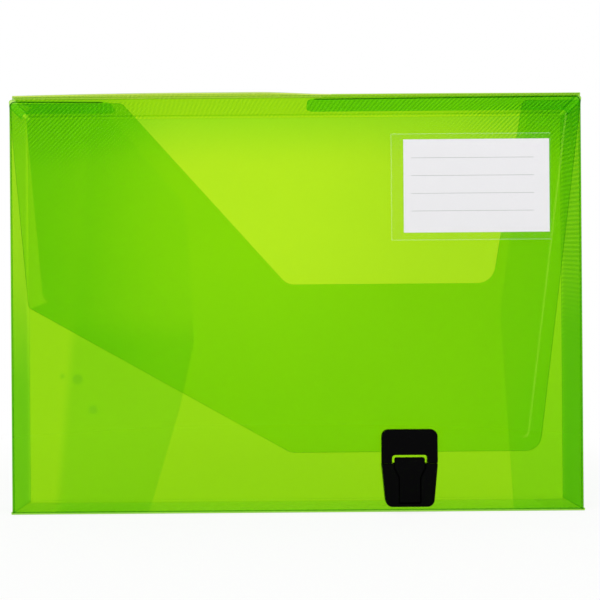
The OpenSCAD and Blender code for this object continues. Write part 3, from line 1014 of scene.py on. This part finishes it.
# Backing plates: small black mouldings inside the flap and the front panel, into which the studs
# of the clip's two halves are staked. They keep the plain shapes of the CAD model.
for backing in ("clasp_backing", "keeper_backing"):
    plate_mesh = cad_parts[backing].data
    plate_mesh.materials.clear()
    plate_mesh.materials.append(black_moulding)

# Keeper: the lower half of the clip, on the front panel: a floor, and on it a raised frame round
# the window in which the tongue bends. The tongue is moulded on at its foot.
keeper_top = seam_z - half_gap
keeper_floor = -17.2
window_gap = 0.45
foot_half, foot_low = 13.8, 4.1
keeper_half = 16.2
neck_half, head_half = 6, 8.8
tongue_foot, neck_top, head_low = 6.5, 21.1, 26.6
keeper_outline = clip_outline([
    [-foot_half, foot_low, clip_round], [foot_half, foot_low, clip_round],
    [keeper_half, keeper_top, 0.5], [-keeper_half, keeper_top, 0.5],
])
neck, head = neck_half + window_gap, head_half + window_gap
window_foot = tongue_foot - window_gap
frame_outline = clip_outline([
    [-foot_half, foot_low, clip_round], [foot_half, foot_low, clip_round],
    [keeper_half, keeper_top, 0.5], [head, keeper_top, 0.3],
    [head, head_low, 2], [neck, neck_top, 2], [neck, window_foot, 0.5],
    [-neck, window_foot, 0.5], [-neck, neck_top, 2], [-head, head_low, 2],
    [-head, keeper_top, 0.3], [-keeper_half, keeper_top, 0.5],
])
keeper_parts = [(frame_outline, clip_front, keeper_floor + 0.1), (keeper_outline, keeper_floor, panel_front)]
keeper_parts += studs(keeper_stud_z, panel_front - 0.5, panel_back + sheet)
moulded("keeper_moulding", keeper_parts, "box", "keeper_plate", 0.7)

# Tongue: a thin springy tongue with a wide head, moulded in one with the keeper. It is pressed in
# to open the clip, and bends at its foot.
tongue_front, tongue_back = -20.6, -19.0
head_top = notch_top - 1.35
tongue_outline = clip_outline([
    [-neck_half, tongue_foot, 0.5], [neck_half, tongue_foot, 0.5],
    [neck_half, neck_top, 2], [head_half, head_low, 2], [head_half, head_top, 1.2],
    [-head_half, head_top, 1.2], [-head_half, head_low, 2], [-neck_half, neck_top, 2],
])
tongue_parts = [(tongue_outline, tongue_front, tongue_back)]
moulded("latch_tongue_moulding", tongue_parts, "tongue", "latch_tongue", 0.3)

# ---------------------------------------------------------------------------------------------
# Label pocket: clear film welded to the flap along three sides, and open on the right. The weld
# is pressed flat in a narrow band, and the film stands up over the card.
pocket_x, pocket_z, pocket_w, pocket_h = 55.2, 158.0, 92.6, 62.0
film_thickness = 0.2
weld_y, film_y = -17.63, -18.12
weld_left, weld_rim = 3.5, 2.0
weld_slack, rise_left, rise_rim = 0.5, 1.0, 0.8


def film(name, tint, haze):
    """Clear film: almost all of the light goes through, and a smooth skin mirrors the rest."""
    material, tree = new_material(name)
    place = new_node(tree, "ShaderNodeTexCoord").outputs["Object"]
    ripple = noise(tree, place, 60.0, 2.0)
    clear = new_node(tree, "ShaderNodeBsdfTransparent", {"Color": (*tint, 1)})
    skin = new_node(
        tree, "ShaderNodeBsdfPrincipled",
        {"Base Color": (0.92, 0.95, 0.88, 1), "Roughness": 0.12,
         "Normal": bumped(tree, ripple, 0.2, 0.0003)},
    )
    facing = new_node(tree, "ShaderNodeLayerWeight", {"Blend": 0.5}).outputs["Facing"]
    share = math_node(tree, "MULTIPLY_ADD", math_node(tree, "POWER", facing, 5.0), 0.3, haze)
    finish_material(tree, share, clear, skin)
    return material


clear_film = film("clear_film", (0.985, 0.985, 0.985), 0.006)
film_edge = film("film_edge", (1.0, 1.0, 1.0), 0.07)

film_x = pocket_x + np.array([0, 0.5, 1.2, 2.0, 3.0, 3.5, 4.0, 5.0, 20, 40, 60, 80, pocket_w])
rim_steps = np.array([0, 0.5, 1.0, 1.6, 2.0, 2.5, 3.2])
film_z = pocket_z + np.concatenate([rim_steps, [15, 30, 45], pocket_h - rim_steps[::-1]])
grid_x, grid_z = np.meshgrid(film_x, film_z)
risen = soft_step(grid_x - pocket_x, weld_left - weld_slack, weld_left + rise_left)
for from_rim in (grid_z - pocket_z, pocket_z + pocket_h - grid_z):
    risen = risen * soft_step(from_rim, weld_rim - weld_slack, weld_rim + rise_rim)
film_slots = np.zeros((len(film_z) - 1, len(film_x) - 1))
film_slots[[0, -1]] = 1
film_slots[:, 0] = 1
pocket = profile_solid(
    "label_pocket_film", upright(grid_x, grid_z, weld_y + (film_y - weld_y) * risen),
    [clear_film, film_edge], thickness=film_thickness, cell_slots=film_slots,
)
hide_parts("label_pocket")
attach(pocket, "flap")

# Label card: a piece of plain white card with four thin grey ruled lines. It lies loose in the
# pocket, and slides out to the right.
card_x, card_z, card_w, card_h = 62.5, 162.5, 84.5, 54.0
card_y, card_thickness = -17.75, 0.3
rule_heights = np.array([175.0, 185.2, 195.5, 205.8])
rule_left, rule_right = 66.9, 138.0
rule_half = 0.16


def card_finish(name, low, high):
    """Matt card whose tone goes between two greys with its fibres."""
    material, tree = new_material(name)
    place = new_node(tree, "ShaderNodeTexCoord").outputs["Object"]
    fibres = noise(tree, place, 900.0, 5.0)
    paper = new_node(
        tree, "ShaderNodeBsdfPrincipled",
        {"Base Color": blended(tree, fibres, low, high), "Roughness": 0.65, "Specular IOR Level": 0.25,
         "Normal": bumped(tree, fibres, 0.15, 0.00005)},
    )
    new_node(tree, "ShaderNodeOutputMaterial", {0: paper.outputs[0]})
    return material


card_material = card_finish("white_card", (0.77, 0.76, 0.79), (0.82, 0.81, 0.83))
rule_ink = card_finish("grey_rule", (0.42, 0.44, 0.44), (0.55, 0.56, 0.56))

rows = np.sort([card_z, card_z + card_h, *(rule_heights - rule_half), *(rule_heights + rule_half)])
columns = np.array([card_x, rule_left, rule_right, card_x + card_w])
grid_x, grid_z = np.meshgrid(columns, rows)
card_slots = np.zeros((len(rows) - 1, len(columns) - 1))
card_slots[1:-1:2, 1] = 2
card = profile_solid(
    "label_card_sheet", upright(grid_x, grid_z, np.full(grid_x.shape, card_y)),
    [card_material, card_material, rule_ink], thickness=card_thickness, cell_slots=card_slots,
)
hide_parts("label_card")
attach(card, "card")
